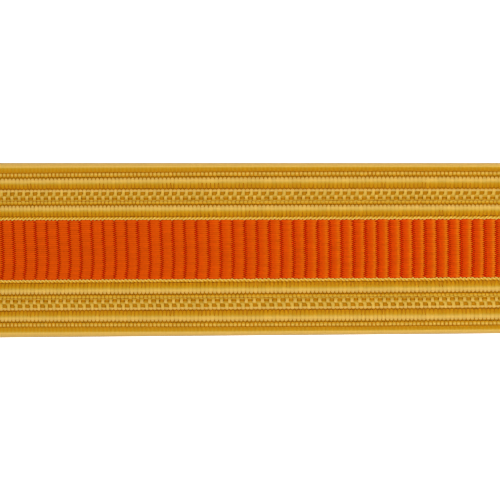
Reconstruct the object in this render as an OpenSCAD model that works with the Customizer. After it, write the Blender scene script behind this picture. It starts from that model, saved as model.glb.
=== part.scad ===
// A short length of woven sleeve braid, lying flat with its face up.
// X runs along the braid, Y across it and Z up through its thickness.
// Two gold bands of laid cords lie either side of an orange stripe that is ribbed across.
// The origin is the middle of the back face.

/* [Braid] */
// Length of the piece
braid_length = 60; // [20:1:120]
// Width at the left end
width_left = 19.4; // [18:0.1:24]
// How much narrower the right end is woven
draw_in = 0.5; // [0:0.05:0.8]
// Gap between neighbouring pieces
gap = 0.05; // [0.04:0.01:0.08]

/* [Gold bands] */
// Width of the rolled cord along the outer edge
edge_cord_w = 0.96; // [0.8:0.01:1.1]
// Width of the thin beaded cord beside it
bead_cord_w = 0.56; // [0.5:0.01:0.7]
// Width of the outer satin rib
outer_rib_w = 1.32; // [1.1:0.01:1.5]
// Width of the pierced check band
check_band_w = 1.36; // [1.2:0.01:1.5]
// Width of the fine cord beside the check band
fine_cord_w = 0.42; // [0.38:0.01:0.5]
// Width of the inner satin rib
inner_rib_w = 1.3; // [1.1:0.01:1.5]
// Width of the border twist against the centre stripe
border_twist_w = 0.35; // [0.3:0.01:0.45]

/* [Weave] */
// Mean distance between the weft threads
weft_pitch = 0.44; // [0.41:0.01:0.52]
// Weft threads that lie in a rib of the centre stripe, on the mean
wefts_per_rib = 2.97; // [2.9:0.01:3.1]
// Place of the groove nearest the middle of the piece
middle_groove_x = 0.8; // [-0.6:0.05:0.8]

/* [Check pattern] */
// Length of a pit along the braid
pit_length = 0.48; // [0.3:0.01:0.55]
// Width of a pit across the braid
pit_width = 0.32; // [0.2:0.01:0.36]
// Depth of a pit below the face of the band
pit_depth = 0.22; // [0.1:0.01:0.3]

/* [Centre stripe] */
// Height of a rib above the groove beside it
rib_relief = 0.26; // [0.1:0.01:0.3]
// Height of the rib crests above the back face
stripe_height = 1.32; // [1.1:0.01:1.4]

/* [Ground] */
// Thickness of the woven ground under the cords
ground_thickness = 0.5; // [0.4:0.05:0.6]

/* [Hidden] */

// The two gold bands mirror each other across the stripe
UPPER = 1;
LOWER = -1;

// Places of the rows in CORD_ROWS, counted from the outer edge inwards
EDGE = 0;
BEAD = 1;
OUTER = 2;
CHECK = 3;
FINE = 4;
INNER = 5;
TWIST = 6;

// Columns of CORD_ROWS: the room the row takes across the braid, the height of its crest,
// of its outer shoulder and of its inner side, and the crest's place as a share of the width
ROOM = 0;
CREST = 1;
SHOULDER = 2;
TAIL = 3;
CREST_PLACE = 4;
CORD_ROWS = [
    [edge_cord_w, 1.24, 0.62, 0.84, 0.42],
    [bead_cord_w, 1.12, 0.86, 0.88, 0.45],
    [outer_rib_w, 1.46, 1.00, 1.02, 0.34],
    [check_band_w, 1.34, 1.04, 1.12, 0.24],
    [fine_cord_w, 1.14, 0.96, 0.92, 0.45],
    [inner_rib_w, 1.46, 1.00, 1.02, 0.34],
    [border_twist_w, 1.20, 0.94, 1.02, 0.50],
];

// The weave isn't quite even along the braid. Columns of WEAVE_DRIFT: the weft's number, counted
// from the middle groove of the stripe, and how far it lies from its place in an even spacing
WEAVE_DRIFT = [
    [-66, 0.56],
    [-45, 0.07],
    [-29, -0.12],
    [-14, -0.18],
    [0, 0],
    [15, 0.15],
    [30, 0.22],
    [55, 0.33],
];
// Every second weft is tied down into a pit. Place of a pit of each row of the check pattern,
// in wefts from the middle groove: outer row, inner row
WEFTS_PER_PIT = 2;
PIT_PHASES = [-0.4, 0.3];

// Steps round the rising and the falling side of a cord's section
RISE_STEPS = 6;
FALL_STEPS = 8;
// How steeply a cord falls away behind its crest
FALL_POWER = 1.7;
// The edge cord is rounded under as well, down to this height above the back face
EDGE_FOOT = 0.02;
// How far each rib of the stripe runs into the next one, so that they are one cloth
RIB_OVERLAP = 0.02;

// The upper edge is woven straight, and the draw-in shows along the lower edge
mid_width = width_left - draw_in / 2;
upper_edge_y = width_left / 2;

// Distance of a row's outer side and of its middle from the edge of its own band
function row_start(row) = row == 0 ? 0 : row_start(row - 1) + CORD_ROWS[row - 1][ROOM];
function row_middle(row) = row_start(row) + CORD_ROWS[row][ROOM] / 2;
gold_band_w = row_start(TWIST) + border_twist_w;

// Where a weft lies along the braid, also for a number between two wefts, and where a groove does
function weft_x(number) = middle_groove_x + number * weft_pitch + lookup(number, WEAVE_DRIFT);
function groove_x(number) = weft_x(number * wefts_per_rib);
// Wefts on each side of the middle groove that surely reach past the end of the piece
wefts = ceil((braid_length / 2 + 2) / weft_pitch);

// A line that lies a given distance from the upper edge at mid-length, and its slope along X
function from_upper_edge(distance, side) = side == UPPER ? distance : mid_width - distance;
function fan_slope(from_top) = from_top / mid_width * draw_in / braid_length;
function line_y(from_top, x) = upper_edge_y - from_top + fan_slope(from_top) * x;

// Height of a cord's face, where place is 0 at its outer side and 1 at its inner side
function face_height(row, place) =
    let (
        c = CORD_ROWS[row],
        rise = place / c[CREST_PLACE],
        fall = (place - c[CREST_PLACE]) / (1 - c[CREST_PLACE])
    )
    place <= c[CREST_PLACE]
        ? c[SHOULDER] + (c[CREST] - c[SHOULDER]) * sqrt(1 - pow(1 - rise, 2))
        : c[CREST] - (c[CREST] - c[TAIL]) * pow(fall, FALL_POWER);

// The shares of the width at which a section gets a point
function section_places(row) = let (crest = CORD_ROWS[row][CREST_PLACE]) concat(
    [for (i = [0 : RISE_STEPS]) crest * (1 - cos(90 * i / RISE_STEPS))],
    [for (i = [1 : FALL_STEPS]) crest + (1 - crest) * i / FALL_STEPS]
);

// The face of a cord as points of (across, height), with the outer side at +across
function face_points(row) =
    let (w = CORD_ROWS[row][ROOM] - gap)
    [for (place = section_places(row)) [w / 2 - w * place, face_height(row, place)]];

// Carries a piece that is drawn round X to its row of the upper or the lower band
module lay_in_row(row, side) {
    from_top = from_upper_edge(row_middle(row), side);
    translate([0, line_y(from_top, 0), 0])
        rotate([0, 0, atan(fan_slope(from_top))])
            mirror([0, side == LOWER ? 1 : 0, 0])
                children();
}

// Draws a section of (across, height) along the whole length
module along_braid() {
    rotate([90, 0, 90])
        linear_extrude(height = braid_length, center = true)
            children();
}

// A cord that lies on the ground, with a flat seat under its shaped face
module laid_cord(row) {
    w = CORD_ROWS[row][ROOM] - gap;
    seat = ground_thickness + gap;
    along_braid()
        polygon(concat(face_points(row), [[-w / 2, seat], [w / 2, seat]]));
}

// The rolled cord of the edge reaches down beside the ground and is rounded under
module edge_cord(side) {
    w = edge_cord_w - gap;
    shoulder = CORD_ROWS[EDGE][SHOULDER];
    under = [for (i = [0 : RISE_STEPS - 1]) let (a = 90 * i / RISE_STEPS)
        [w / 2 - w * CORD_ROWS[EDGE][CREST_PLACE] * (1 - sin(a)),
            EDGE_FOOT + (shoulder - EDGE_FOOT) * (1 - cos(a))]];
    color("goldenrod")
        lay_in_row(EDGE, side)
            along_braid()
                polygon(concat(face_points(EDGE), [[-w / 2, EDGE_FOOT]], under));
}

module bead_cord(side) {
    color("darkgoldenrod")
        lay_in_row(BEAD, side)
            laid_cord(BEAD);
}

module outer_rib(side) {
    color("goldenrod")
        lay_in_row(OUTER, side)
            laid_cord(OUTER);
}

// Two staggered rows of shallow pits are pressed into the check band, from its outer side in
module check_band(side) {
    pits = ceil(wefts / WEFTS_PER_PIT);
    pit_rows_y = [0.07, -0.28] * check_band_w;
    pit_floors_z = [face_height(CHECK, 0.43), face_height(CHECK, 0.78)] - [1, 1] * pit_depth;
    color("darkgoldenrod")
        lay_in_row(CHECK, side)
            difference() {
                laid_cord(CHECK);
                for (line = [0, 1])
                    for (i = [-pits : pits])
                        let (x = weft_x(i * WEFTS_PER_PIT + PIT_PHASES[line]))
                            if (abs(x) < braid_length / 2 - pit_length)
                                translate([
                                    x - pit_length / 2,
                                    pit_rows_y[line] - pit_width / 2,
                                    pit_floors_z[line]
                                ])
                                    cube([pit_length, pit_width, 1]);
            }
}

module fine_cord(side) {
    color("darkgoldenrod")
        lay_in_row(FINE, side)
            laid_cord(FINE);
}

module inner_rib(side) {
    color("goldenrod")
        lay_in_row(INNER, side)
            laid_cord(INNER);
}

module border_twist(side) {
    color("khaki")
        lay_in_row(TWIST, side)
            laid_cord(TWIST);
}

// The room between two lines that fan out from the upper edge, as seen from above
module fan_strip(from_top_a, from_top_b) {
    x = braid_length / 2;
    polygon([
        [-x, line_y(from_top_a, -x)], [-x, line_y(from_top_b, -x)],
        [x, line_y(from_top_b, x)], [x, line_y(from_top_a, x)]
    ]);
}

// The section of one rounded rib, from just before its own groove to just past the next
module rib_section(number) {
    left = groove_x(number);
    width = groove_x(number + 1) - left;
    rib_r = (pow(width / 2, 2) + pow(rib_relief, 2)) / (2 * rib_relief);
    intersection() {
        translate([left + width / 2, stripe_height - rib_r])
            circle(r = rib_r, $fn = 64);
        translate([left - RIB_OVERLAP, ground_thickness + gap])
            square([width + 2 * RIB_OVERLAP, stripe_height]);
    }
}

// Ribs stand side by side along the stripe, and each runs from one gold band to the other
module centre_stripe() {
    ribs = ceil(wefts / wefts_per_rib);
    color("orangered")
        intersection() {
            rotate([90, 0, 0])
                linear_extrude(height = width_left, center = true)
                    for (i = [-ribs : ribs])
                        rib_section(i);
            linear_extrude(height = 2 * stripe_height)
                fan_strip(
                    from_upper_edge(gold_band_w + gap / 2, UPPER),
                    from_upper_edge(gold_band_w + gap / 2, LOWER)
                );
        }
}

// The flat woven ground that carries every cord between the two edge cords
module ground_web() {
    color("moccasin")
        linear_extrude(height = ground_thickness)
            fan_strip(
                from_upper_edge(edge_cord_w + gap / 2, UPPER),
                from_upper_edge(edge_cord_w + gap / 2, LOWER)
            );
}

ground_web();
centre_stripe();
edge_cord(UPPER);  // upper_edge_cord
bead_cord(UPPER);  // upper_bead_cord
outer_rib(UPPER);  // upper_outer_rib
check_band(UPPER);  // upper_check_band
fine_cord(UPPER);  // upper_fine_cord
inner_rib(UPPER);  // upper_inner_rib
border_twist(UPPER);  // upper_border_twist
edge_cord(LOWER);  // lower_edge_cord
bead_cord(LOWER);  // lower_bead_cord
outer_rib(LOWER);  // lower_outer_rib
check_band(LOWER);  // lower_check_band
fine_cord(LOWER);  // lower_fine_cord
inner_rib(LOWER);  // lower_inner_rib
border_twist(LOWER);  // lower_border_twist
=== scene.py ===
"""Studio model of a short flat length of woven sleeve braid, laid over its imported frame.

X runs along the braid, Y across it towards its upper edge and Z up from its back to its face.
Each class holds its sizes in millimetres, in the braid's own frame, and the meshes are written in metres.
"""
import logging
import math
from collections.abc import Iterable, Sequence
from dataclasses import dataclass, field
from enum import Enum

import bpy
import numpy as np
from bpy.types import Material, Mesh, Node, NodeSocket, NodeTree, Object
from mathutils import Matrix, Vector


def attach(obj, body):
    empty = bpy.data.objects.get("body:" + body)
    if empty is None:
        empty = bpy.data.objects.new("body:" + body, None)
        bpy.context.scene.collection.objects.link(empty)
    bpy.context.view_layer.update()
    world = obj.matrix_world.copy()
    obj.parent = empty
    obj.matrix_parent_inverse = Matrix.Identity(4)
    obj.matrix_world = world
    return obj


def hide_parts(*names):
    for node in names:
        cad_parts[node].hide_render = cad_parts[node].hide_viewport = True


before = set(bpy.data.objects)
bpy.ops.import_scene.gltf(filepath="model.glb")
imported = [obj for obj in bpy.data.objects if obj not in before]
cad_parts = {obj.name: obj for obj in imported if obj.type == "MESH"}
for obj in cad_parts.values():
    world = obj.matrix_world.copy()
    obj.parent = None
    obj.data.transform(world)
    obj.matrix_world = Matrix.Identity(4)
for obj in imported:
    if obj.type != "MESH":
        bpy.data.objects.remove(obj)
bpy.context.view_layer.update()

LOG = logging.getLogger("sleeve_braid")
MM = 0.001
BAKE_MAP = "OFBake"
# What a yarn's material reads from the mesh, and the shade that leaves its colour as it is
YARN_VALUES = ("tone", "shade", "along", "across")
EVEN_SHADE = 0.5
Triple = tuple[float, float, float]
Table = tuple[tuple[float, float], ...]
# The points of a section, each with its values after its x, y and z
Outline = list[tuple[float, ...]]


class Row(Enum):
    """Rows of a gold band from the outer edge inwards, by the name of their solids."""

    EDGE = "edge_cord"
    BEAD = "bead_cord"
    OUTER = "outer_rib"
    CHECK = "check_band"
    FINE = "fine_cord"
    INNER = "inner_rib"
    TWIST = "border_twist"


class Side(Enum):
    """The two gold bands, which mirror each other across the stripe."""

    UPPER = 1
    LOWER = -1

    def node(self, row: Row) -> str:
        """Return the name of a row's solid in this band."""
        return f"{self.name.lower()}_{row.value}"


class Slot(Enum):
    """The record's material slots."""

    GOLD = "gold_yarn"
    BORDER = "border_yarn"
    SILK = "orange_silk"
    COTTON = "ground_cotton"


class Finish(Enum):
    """The yarns that the pieces are made of."""

    GOLD = "gold_yarn_satin"
    BORDER = "border_yarn_twist"
    SILK = "orange_silk_warp"
    FILLER = "gold_filler_cotton"
    COTTON = "ground_cotton_weave"


def mix(low: float, high: float, share: float) -> float:
    """Return the value at a share of the way from low to high."""
    return low + (high - low) * share


def smooth(low: float, high: float, at: float) -> float:
    """Return 0 up to low, 1 from high on, and a smooth rise between them."""
    share = min(1.0, max(0.0, (at - low) / (high - low)))
    return share * share * (3 - 2 * share)


def blend_table(table: Table, at: float) -> float:
    """Read a table of (place, value) between its entries, level past its ends."""
    places, values = zip(*table)
    return float(np.interp(at, places, values))


def new_mesh(name: str, points: Sequence[Triple], faces: Iterable[Sequence[int]] = ()) -> Mesh:
    """Write a mesh in metres.

    Args:
        name: Its name.
        points: Its points in mm.
        faces: Its faces as lists of point numbers.

    Returns:
        The mesh.
    """
    mesh = bpy.data.meshes.new(name)
    mesh.from_pydata((np.array(points, dtype=float) * MM).tolist(), [], list(faces))
    return mesh


def store_numbers(mesh: Mesh, name: str, numbers: Sequence[float]) -> None:
    """Store a number for every point of a mesh."""
    mesh.attributes.new(name, "FLOAT", "POINT").data.foreach_set("value", np.array(numbers, dtype=np.float32))


@dataclass(frozen=True)
class Section:
    """The face of a row: its room across the braid, its heights and where its crest lies.

    The crest's place is a share of the room, counted from the row's outer side.
    """

    room: float
    crest: float
    shoulder: float
    tail: float
    crest_place: float
    fall_power: float = 1.7

    def height(self, place: float) -> float:
        """Return the height of the face.

        Args:
            place: A share of the room, 0 at the outer side and 1 at the inner side.

        Returns:
            The height above the braid's back.
        """
        if place <= self.crest_place:
            rise = max(0.0, place) / self.crest_place
            return mix(self.shoulder, self.crest, math.sqrt(1 - (1 - rise) ** 2))
        fall = (place - self.crest_place) / (1 - self.crest_place)
        return mix(self.crest, self.tail, fall**self.fall_power)


SECTIONS: dict[Row, Section] = {
    Row.EDGE: Section(0.96, 1.24, 0.62, 0.92, 0.42),
    Row.BEAD: Section(0.56, 1.12, 0.92, 1.02, 0.45),
    Row.OUTER: Section(1.32, 1.46, 1.26, 1.11, 0.34),
    Row.CHECK: Section(1.36, 1.34, 1.20, 1.16, 0.24),
    Row.FINE: Section(0.42, 1.16, 1.08, 1.06, 0.45),
    Row.INNER: Section(1.30, 1.46, 1.26, 1.12, 0.34),
    Row.TWIST: Section(0.35, 1.20, 0.94, 1.02, 0.50),
}


@dataclass(frozen=True)
class RowWeave:
    """How a row's threads lie against the wefts' numbers, counted at their tips, in wefts.

    The start holds at the left, and the gain is added as the wefts fan out towards the right. The
    lean is how far a thread's tail lies along the braid from its tip, at the left and at the right.
    The push is the share of the edge cord's swelling that moves the row's outer side inwards.
    """

    start: float
    gain: float = 0.0
    push: float = 0.0
    lean_left: float = 0.0
    lean_right: float = 0.0


ROW_WEAVES: dict[Row, RowWeave] = {
    Row.EDGE: RowWeave(0.46, 1.03),
    Row.BEAD: RowWeave(-0.87, 0.90, 1.0),
    Row.OUTER: RowWeave(-0.39, 0.77, 1.0, 0.14, -0.02),
    Row.CHECK: RowWeave(-0.70, 0.53, 0.35, 0.16, 0.02),
    Row.FINE: RowWeave(0.13, 0.06, 0.2),
    Row.INNER: RowWeave(-0.40, 0.0, 0.15, 0.13, 0.02),
    Row.TWIST: RowWeave(0.57, -0.65),
}


@dataclass(frozen=True)
class WeavePlan:
    """Where every weft and every row lies in the braid."""

    length: float = 60.0
    width_left: float = 19.4
    draw_in: float = 0.5
    gap: float = 0.05
    ground: float = 0.5
    weft_pitch: float = 0.44
    wefts_per_rib: float = 2.97
    middle_groove: float = 0.8
    # How far the last thread of a row keeps from the cut end, and how far past it places are tried
    end_margin: float = 0.2
    overrun: float = 2.0
    # Rounds in which a place and the number of the weft there are brought to agree
    rounds: int = 3
    # The weft's number from the middle groove, and how far it lies from an even spacing
    drift: Table = (
        (-66, 0.56), (-45, 0.07), (-29, -0.12), (-14, -0.18), (0, 0.0), (15, 0.15), (30, 0.22), (55, 0.33),
    )
    # The wefts fan out towards both edges: X, and the share of the fan's gain that is reached there
    fan: Table = (
        (-30.5, -0.15), (-23.3, 0.0), (-18.2, 0.09), (-13.1, 0.34), (-8.0, 0.46), (-2.9, 0.53),
        (2.2, 0.60), (7.3, 0.83), (12.4, 0.85), (17.5, 0.94), (22.6, 1.0), (30.5, 1.15),
    )
    # X, and how much thicker the edge cord is there than at mid-length
    swell: Table = ((-26, 0.15), (-14, 0.07), (-3, 0.0), (14, -0.045), (27, -0.04))

    @property
    def end(self) -> float:
        """Return the distance from the middle to a cut end."""
        return self.length / 2

    @property
    def mid_width(self) -> float:
        """Return the braid's width at mid-length."""
        return self.width_left - self.draw_in / 2

    @property
    def gold_band(self) -> float:
        """Return the room that a gold band takes."""
        return sum(section.room for section in SECTIONS.values())

    @property
    def seat(self) -> float:
        """Return the height at which the cords lie on the ground."""
        return self.ground + self.gap

    def stations(self, steps: int, gap: float = 0.0) -> list[float]:
        """Return places in even steps along the braid, which keep a gap from its cut ends."""
        return [mix(gap - self.end, self.end - gap, i / steps) for i in range(steps + 1)]

    def weft_x(self, number: float) -> float:
        """Return where a weft lies along the braid."""
        return self.middle_groove + number * self.weft_pitch + blend_table(self.drift, number)

    def groove_x(self, number: float) -> float:
        """Return where a groove of the centre stripe lies along the braid."""
        return self.weft_x(number * self.wefts_per_rib)

    def number_at(self, x: float) -> float:
        """Return the number of the weft at a place along the braid.

        Args:
            x: The place.

        Returns:
            The number, with its fraction between two wefts.
        """
        number = (x - self.middle_groove) / self.weft_pitch
        for _ in range(self.rounds):
            number = (x - self.middle_groove - blend_table(self.drift, number)) / self.weft_pitch
        return number

    def offset(self, row: Row, x: float) -> float:
        """Return how far a row's threads lie from the wefts of the middle there, in wefts."""
        return ROW_WEAVES[row].start + ROW_WEAVES[row].gain * blend_table(self.fan, x)

    def turns(self, row: Row, x: float) -> float:
        """Return how many of a row's threads or turns lie between the middle groove and a place."""
        return self.number_at(x) - self.offset(row, x)

    def wefts(self, row: Row, first: int, step: int) -> list[float]:
        """List the places of a row's threads.

        Args:
            row: The row.
            first: The number of the weft that the list counts from.
            step: How many wefts lie from one thread of the row to the next.

        Returns:
            The places along the braid, in rising order.
        """
        most = math.ceil((self.end + self.overrun) / self.weft_pitch / step)
        places = []
        for number in range(first - most * step, first + most * step + 1, step):
            x = self.weft_x(number)
            for _ in range(self.rounds):
                x = self.weft_x(number + self.offset(row, x))
            places.append(x)
        return [x for x in places if abs(x) <= self.end - self.end_margin]

    def line_y(self, from_edge: float, side: Side, x: float) -> float:
        """Return the Y of a line at a distance from its band's outer edge.

        Args:
            from_edge: The distance from the edge of the line's own band, at mid-length.
            side: The band.
            x: The place along the braid.

        Returns:
            The line's Y there.
        """
        from_top = from_edge if side is Side.UPPER else self.mid_width - from_edge
        slope = from_top / self.mid_width * self.draw_in / self.length
        return self.width_left / 2 - from_top + slope * x

    def row_start(self, row: Row) -> float:
        """Return the distance from the band's outer edge to a row's outer side, at mid-length."""
        rows = list(SECTIONS)
        return sum(SECTIONS[other].room for other in rows[:rows.index(row)])

    def row_sides(self, row: Row, side: Side, x: float) -> tuple[float, float]:
        """Work out where a row lies across the braid.

        Args:
            row: The row.
            side: Its band.
            x: The place along the braid.

        Returns:
            The Y of its outer and of its inner side there.
        """
        rows = list(SECTIONS)
        following = rows[min(rows.index(row) + 1, len(rows) - 1)]
        push = side.value * blend_table(self.swell, x)
        start = self.row_start(row)
        outer = self.line_y(start, side, x) - push * ROW_WEAVES[row].push
        return outer, self.line_y(start + SECTIONS[row].room, side, x) - push * ROW_WEAVES[following].push


def live_socket(sockets: Iterable[NodeSocket], name: str) -> NodeSocket:
    """Return the socket of a name that the node's settings leave in use."""
    named = [socket for socket in sockets if socket.name == name]
    return next((socket for socket in named if socket.enabled), named[0])


class NodeWeb:
    """Adds and joins the nodes of one tree."""

    def __init__(self, tree: NodeTree) -> None:
        """Keep the tree that the nodes go into."""
        self.tree = tree

    def feed(self, node: Node, key: str | int, value: object) -> None:
        """Give an input of a node its value.

        Args:
            node: The node.
            key: The input's name or number.
            value: The value, or another node's output.
        """
        socket = node.inputs[key] if isinstance(key, int) else live_socket(node.inputs, key)
        if isinstance(value, NodeSocket):
            self.tree.links.new(value, socket)
        else:
            socket.default_value = value

    def add(self, kind: str, sockets: dict[str | int, object] | None = None, give: str = "",
            **settings: object) -> NodeSocket:
        """Add a node.

        Args:
            kind: The node's type.
            sockets: A value or another node's output for each input, by name or number.
            give: The name of the output that is wanted, or nothing for the first one.
            settings: Values for the node's own settings.

        Returns:
            The output.
        """
        node = self.tree.nodes.new(kind)
        for name, value in settings.items():
            setattr(node, name, value)
        for key, value in (sockets or {}).items():
            self.feed(node, key, value)
        return live_socket(node.outputs, give or node.outputs[0].name)

    def math(self, operation: str, *values: object) -> NodeSocket:
        """Add a sum of up to three numbers and return its result."""
        return self.add("ShaderNodeMath", dict(enumerate(values)), operation=operation)

    def vector(self, x: object = 0.0, y: object = 0.0, z: object = 0.0) -> NodeSocket:
        """Join three numbers to a vector."""
        return self.add("ShaderNodeCombineXYZ", {0: x, 1: y, 2: z})

    def vector_math(self, operation: str, first: object, second: object) -> NodeSocket:
        """Add a sum of two vectors and return its result."""
        return self.add("ShaderNodeVectorMath", {0: first, 1: second}, operation=operation)

    def named(self, name: str, kind: str = "FLOAT") -> NodeSocket:
        """Read a named value of the mesh."""
        return self.add("GeometryNodeInputNamedAttribute", {"Name": name}, data_type=kind)

    def store(self, geometry: NodeSocket, name: str, value: object, domain: str,
              kind: str = "FLOAT") -> NodeSocket:
        """Store a named value on the geometry and return the geometry."""
        sockets = {"Geometry": geometry, "Name": name, "Value": value}
        return self.add("GeometryNodeStoreNamedAttribute", sockets, domain=domain, data_type=kind)


def new_material(name: str, values: dict[str, object]) -> tuple[Material, NodeWeb, Node]:
    """Start a material.

    Args:
        name: Its name.
        values: Values for its shader's inputs.

    Returns:
        The material, its nodes and its shader.
    """
    material = bpy.data.materials.new(name)
    material.use_nodes = True
    shader = material.node_tree.nodes["Principled BSDF"]
    for key, value in values.items():
        shader.inputs[key].default_value = value
    return material, NodeWeb(material.node_tree), shader


@dataclass(frozen=True)
class YarnFinish:
    """A lustrous dyed yarn.

    Its colour carries painted shade and painted highlight: the colour turns deeper and purer with each step
    down into a hollow, by the same share for each step, as painted shade for light that has run through more
    of the dye. The mesh's tone attribute says how much painted light a place gets: 1 for the painted
    highlight on a thread's bent tip, a little less on a crest, low for the painted shade in a hollow and 0
    for the painted shadow in a gap.
    """

    slot: Slot
    tip: Triple
    crest: Triple
    hollow: Triple
    gap: Triple
    gloss_tint: Triple
    roughness: float = 0.42
    gloss: float = 0.35
    # How much threads, and fibres in a thread, differ in lightness
    thread_spread: float = 0.05
    fibre_spread: float = 0.12
    # A ramp gives its places back rounded, so the tip's painted highlight begins just below the crest's tone
    crest_tone: float = 0.85
    rounding: float = 0.001
    hollow_tone: float = 0.14
    blend_tones: tuple[float, ...] = (0.3, 0.5, 0.7)
    # Fibres run along the thread: their pattern is fine across it, long along it and new for each thread
    fibre_pattern: tuple[float, float, float] = (5.0, 2.2, 173.0)
    fibre_scale: float = 1.6
    fibre_detail: float = 3.0
    fibre_strength: float = 0.25
    fibre_depth: float = 0.02

    def at(self, tone: float) -> Triple:
        """Work out the yarn's colour.

        Args:
            tone: How much painted light the yarn gets, from 0 for the painted shadow in a gap to 1 for the
                painted highlight on a tip.

        Returns:
            The colour.
        """
        if tone < self.hollow_tone:
            return self.gap
        if tone > self.crest_tone - self.rounding:
            return self.tip
        depth = (self.crest_tone - tone) / (self.crest_tone - self.hollow_tone)
        return tuple(high ** (1 - depth) * low**depth for high, low in zip(self.crest, self.hollow))

    def build(self, name: str) -> Material:
        """Build the material.

        Args:
            name: Its name.

        Returns:
            The material, which reads the tone, shade, along and across attributes of the threads.
        """
        material, web, shader = new_material(name, {
            "Roughness": self.roughness, "Specular IOR Level": self.gloss,
            "Specular Tint": (*self.gloss_tint, 1),
        })
        tone, shade, along, across = (
            web.add("ShaderNodeAttribute", give="Fac", attribute_name=part) for part in YARN_VALUES
        )
        # The ramp paints shade into the hollows and gaps and a highlight onto the tips
        ramp = web.add("ShaderNodeValToRGB", {0: tone})
        stops = ramp.node.color_ramp.elements
        for place in (self.hollow_tone, *self.blend_tones, self.crest_tone):
            stops.new(place)
        for stop in stops:
            stop.color = (*self.at(stop.position), 1)
        pattern = zip((across, along, shade), self.fibre_pattern)
        fibres = web.add("ShaderNodeTexNoise", {
            "Vector": web.vector(*(web.math("MULTIPLY", part, scale) for part, scale in pattern)),
            "Scale": self.fibre_scale, "Detail": self.fibre_detail,
        })
        levels = [
            web.math("MULTIPLY_ADD", part, 2 * spread, 1 - spread)
            for part, spread in ((shade, self.thread_spread), (fibres, self.fibre_spread))
        ]
        colour = {"Color": ramp, "Value": web.math("MULTIPLY", *levels)}
        relief = {"Height": fibres, "Strength": self.fibre_strength, "Distance": self.fibre_depth * MM}
        web.feed(shader, "Base Color", web.add("ShaderNodeHueSaturation", colour))
        web.feed(shader, "Normal", web.add("ShaderNodeBump", relief))
        return material


@dataclass(frozen=True)
class CottonFinish:
    """Matt cotton of the woven ground and of the filler cords' cut ends."""

    slot: Slot
    light: Triple
    dark: Triple
    roughness: float = 0.85
    gloss: float = 0.1
    # Scale, detail and share of the mottle and of the fuzz
    mottle: tuple[float, float, float] = (750.0, 4.0, 0.6)
    fuzz: tuple[float, float, float] = (9000.0, 2.0, 0.4)
    dark_to: float = 0.4
    light_from: float = 0.6
    fuzz_strength: float = 0.4
    fuzz_depth: float = 0.03

    def build(self, name: str) -> Material:
        """Build the material.

        Args:
            name: Its name.

        Returns:
            The material, whose mottle and fuzz lie in the braid's own frame.
        """
        material, web, shader = new_material(
            name, {"Roughness": self.roughness, "Specular IOR Level": self.gloss})
        place = web.add("ShaderNodeTexCoord", give="Object")
        mottle, fuzz = (
            web.add("ShaderNodeTexNoise", {"Vector": place, "Scale": scale, "Detail": detail})
            for scale, detail, _ in (self.mottle, self.fuzz)
        )
        shares = [web.math("MULTIPLY", mottle, self.mottle[2]), web.math("MULTIPLY", fuzz, self.fuzz[2])]
        ramp = web.add("ShaderNodeValToRGB", {0: web.math("ADD", *shares)})
        looks = ((self.dark_to, self.dark), (self.light_from, self.light))
        for stop, (position, colour) in zip(ramp.node.color_ramp.elements, looks):
            stop.position = position
            stop.color = (*colour, 1)
        relief = {"Height": fuzz, "Strength": self.fuzz_strength, "Distance": self.fuzz_depth * MM}
        web.feed(shader, "Base Color", ramp)
        web.feed(shader, "Normal", web.add("ShaderNodeBump", relief))
        return material


FINISHES: dict[Finish, YarnFinish | CottonFinish] = {
    # Colours of a yarn: the painted highlight of a tip, the crest, the painted shade of a hollow and the
    # painted shadow of a gap
    Finish.GOLD: YarnFinish(
        Slot.GOLD, tip=(0.65, 0.385, 0.086), crest=(0.56, 0.355, 0.080), hollow=(0.545, 0.232, 0.0035),
        gap=(0.37, 0.125, 0.001), gloss_tint=(1.0, 0.85, 0.08)),
    Finish.BORDER: YarnFinish(
        Slot.BORDER, tip=(0.74, 0.46, 0.08), crest=(0.68, 0.42, 0.055), hollow=(0.58, 0.24, 0.004),
        gap=(0.50, 0.18, 0.002), gloss_tint=(1.0, 0.9, 0.15)),
    # The silk's gap is painted lighter in red than its hollow, which lifts the shade in its grooves
    Finish.SILK: YarnFinish(
        Slot.SILK, tip=(0.68, 0.154, 0.0050), crest=(0.66, 0.131, 0.0015), hollow=(0.575, 0.0135, 0.0006),
        gap=(0.61, 0.0065, 0.0004), gloss_tint=(0.9, 0.25, 0.02), roughness=0.5, gloss=0.18,
        fibre_spread=0.07),
    Finish.FILLER: CottonFinish(Slot.COTTON, light=(0.50, 0.205, 0.004), dark=(0.42, 0.16, 0.003)),
    Finish.COTTON: CottonFinish(Slot.COTTON, light=(0.62, 0.42, 0.16), dark=(0.45, 0.27, 0.08)),
}
Palette = dict[Finish, Material]


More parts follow.
